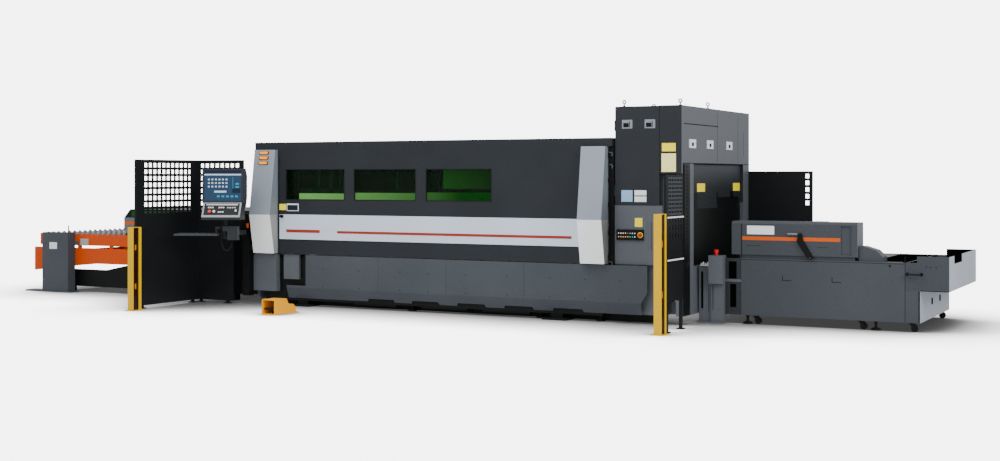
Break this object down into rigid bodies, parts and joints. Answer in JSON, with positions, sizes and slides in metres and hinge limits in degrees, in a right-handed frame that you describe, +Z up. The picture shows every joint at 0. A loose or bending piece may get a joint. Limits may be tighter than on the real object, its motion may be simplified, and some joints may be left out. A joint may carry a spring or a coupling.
{
  "type": "laser cutting machine",
  "caption": "Sheet and tube fiber laser cutting machine: enclosed cabin with green windows, tower cabinet, shuttle table, tube index unit, guards, console and foot switch",
  "frame": {"origin": "middle of the bed's four anchor holes, on the floor", "axes": "X along the machine towards the tube index unit, Y from the operator's side to the back, Z up"},
  "size_m": [12.855, 4.015, 2.526],
  "materials": {
    "charcoal_paint": "satin",
    "black_paint": "satin",
    "grey_paint": "satin",
    "light_paint": "satin",
    "orange_paint": "satin",
    "yellow_paint": "satin",
    "steel": "brushed",
    "silver_band": "satin",
    "green_pane": "tinted",
    "lamp_lens": "gloss",
    "red_plastic": "gloss",
    "dark_plastic": "matte",
    "screen_glass": "gloss",
    "rubber_black": "matte"
  },
  "bodies": {
    "machine": {"bed_frame": "black_paint", "levelling_feet": "steel", "front_skirt": "grey_paint", "left_pillar_cover": "light_paint", "right_pillar_cover": "light_paint", "roof_cover": "charcoal_paint", "left_wall": "grey_paint", "rear_wall": "grey_paint", "left_lower_covers": "grey_paint", "status_lamps": "lamp_lens", "x_rails": "steel", "tower_cabinet": "grey_paint", "laser_oscillator": "light_paint", "side_latches": "light_paint", "lifting_eyes": "steel", "control_strip": "dark_plastic", "panel_buttons": "silver_band", "tube_unit_base": "grey_paint", "tube_rails": "steel", "tube_cover": "grey_paint", "end_bin": "grey_paint", "unit_handle": "dark_plastic", "casters": "rubber_black", "pedestal": "grey_paint", "table_base": "black_paint", "table_frame": "orange_paint", "drive_housing": "grey_paint", "entry_hood": "grey_paint", "hood_windows": "green_pane", "left_side_fence": "black_paint", "left_front_fence": "black_paint", "right_fence": "black_paint", "rear_fence": "black_paint", "left_light_post": "yellow_paint", "right_light_post": "yellow_paint", "light_curtains": "dark_plastic", "console_mast": "black_paint", "foot_switch_hood": "yellow_paint"},
    "front_door_body": {"front_door": "charcoal_paint", "door_windows": "green_pane", "door_band": "silver_band"},
    "gantry": {"gantry_beam": "grey_paint"},
    "carriage": {"head_carriage": "silver_band"},
    "head": {"cutting_head": "silver_band"},
    "pallet": {"pallet_frame": "orange_paint", "pallet_slats": "steel"},
    "shutter": {"tube_shutter": "charcoal_paint"},
    "index_carriage": {"chuck_carriage": "grey_paint"},
    "index_chuck": {"chuck": "steel"},
    "tube_support": {"support_arm": "black_paint"},
    "tower_door": {"tower_front_door": "black_paint"},
    "tower_stop": {"tower_estop": "red_plastic"},
    "pedestal_stop": {"pedestal_estop": "red_plastic"},
    "swing_arm": {"console_arm": "charcoal_paint"},
    "console": {"console_head": "charcoal_paint", "console_screen": "screen_glass", "console_tray": "grey_paint", "console_cable": "rubber_black"},
    "pedal": {"foot_pedal": "rubber_black"}
  },
  "joints": [
    {"name": "door_lift", "type": "slide", "parent": "machine", "child": "front_door_body", "axis": [0, 0, 1], "range_m": [0, 0.75]},
    {"name": "gantry_travel", "type": "slide", "parent": "machine", "child": "gantry", "axis": [1, 0, 0], "range_m": [-3.3, 0]},
    {"name": "head_traverse", "type": "slide", "parent": "gantry", "child": "carriage", "axis": [0, 1, 0], "range_m": [-0.74, 0.74]},
    {"name": "head_lift", "type": "slide", "parent": "carriage", "child": "head", "axis": [0, 0, 1], "range_m": [0, 0.12]},
    {"name": "pallet_shuttle", "type": "slide", "parent": "machine", "child": "pallet", "axis": [1, 0, 0], "range_m": [0, 5]},
    {"name": "shutter_lift", "type": "slide", "parent": "machine", "child": "shutter", "axis": [0, 0, 1], "range_m": [0, 0.6]},
    {"name": "chuck_feed", "type": "slide", "parent": "machine", "child": "index_carriage", "axis": [1, 0, 0], "range_m": [-0.55, 0.5]},
    {"name": "chuck_spin", "type": "hinge", "parent": "index_carriage", "child": "index_chuck", "pos_m": [4.47, 0, 0.97], "axis": [1, 0, 0], "continuous": true},
    {"name": "support_fold", "type": "hinge", "parent": "machine", "child": "tube_support", "pos_m": [4.625, -0.575, 0.762], "axis": [0, 1, 0], "range_deg": [0, 70]},
    {"name": "tower_door_swing", "type": "hinge", "parent": "machine", "child": "tower_door", "pos_m": [2.534, -1.116, 1.89], "axis": [0, 0, -1], "range_deg": [0, 95]},
    {"name": "tower_estop_press", "type": "slide", "parent": "machine", "child": "tower_stop", "axis": [0, 1, 0], "range_m": [0, 0.006], "stiffness_N_per_m": 400},
    {"name": "pedestal_estop_press", "type": "slide", "parent": "machine", "child": "pedestal_stop", "axis": [0, 0, -1], "range_m": [0, 0.006], "stiffness_N_per_m": 400},
    {"name": "console_arm_swing", "type": "hinge", "parent": "machine", "child": "swing_arm", "pos_m": [-2.58, -1.302, 0.935], "axis": [0, 0, 1], "range_deg": [-15, 40]},
    {"name": "console_swivel", "type": "hinge", "parent": "swing_arm", "child": "console", "pos_m": [-2.58, -1.692, 0.935], "axis": [0, 0, 1], "range_deg": [-30, 30]},
    {"name": "foot_press", "type": "hinge", "parent": "machine", "child": "pedal", "pos_m": [-1.46, -2.048, 0.052], "axis": [1, 0, 0], "range_deg": [0, 10], "stiffness_Nm_per_rad": 12}
  ]
}
